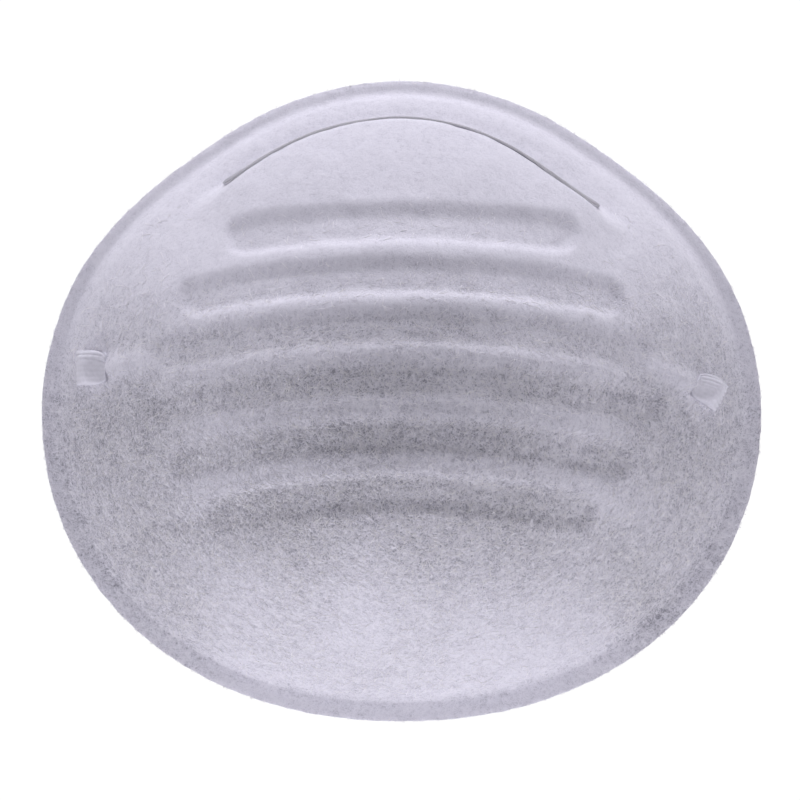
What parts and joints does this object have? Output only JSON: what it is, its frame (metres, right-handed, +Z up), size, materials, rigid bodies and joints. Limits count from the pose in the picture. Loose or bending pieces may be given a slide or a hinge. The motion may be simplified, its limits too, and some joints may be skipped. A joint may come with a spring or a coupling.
{
  "type": "disposable dust mask",
  "caption": "Cup-shaped disposable dust mask: layered nonwoven shell with pressed stiffening channels, nose clip and a swinging elastic head strap.",
  "frame": {"origin": "middle of the face seal, on the seal plane, where the mask meets the wearer's face", "axes": "+Z up towards the nose, +X across the mask (to the right seen from the front), +Y back towards the wearer, so the dome faces -Y"},
  "size_m": [0.13, 0.0419, 0.1156],
  "materials": {
    "outer_nonwoven": "matt needled polyester web, fuzzy with fine fibres",
    "filter_web": "soft matt filter web",
    "inner_nonwoven": "smooth matt nonwoven lining",
    "nose_aluminium": "dull rolled strip",
    "elastic": "matt braided elastic with lengthwise ribs"
  },
  "bodies": {
    "shell": {"outer_shell": "outer_nonwoven", "filter_web": "filter_web", "inner_shell": "inner_nonwoven", "nose_clip": "nose_aluminium", "left_strap_end": "elastic", "right_strap_end": "elastic"},
    "strap": {"head_strap": "elastic"}
  },
  "joints": [
    {"name": "strap_swing", "type": "hinge", "parent": "shell", "child": "strap", "pos_m": [0.00041, -0.006, 0.0032], "axis": [0.9986, 0, -0.0521], "range_deg": [-3, 150]}
  ]
}
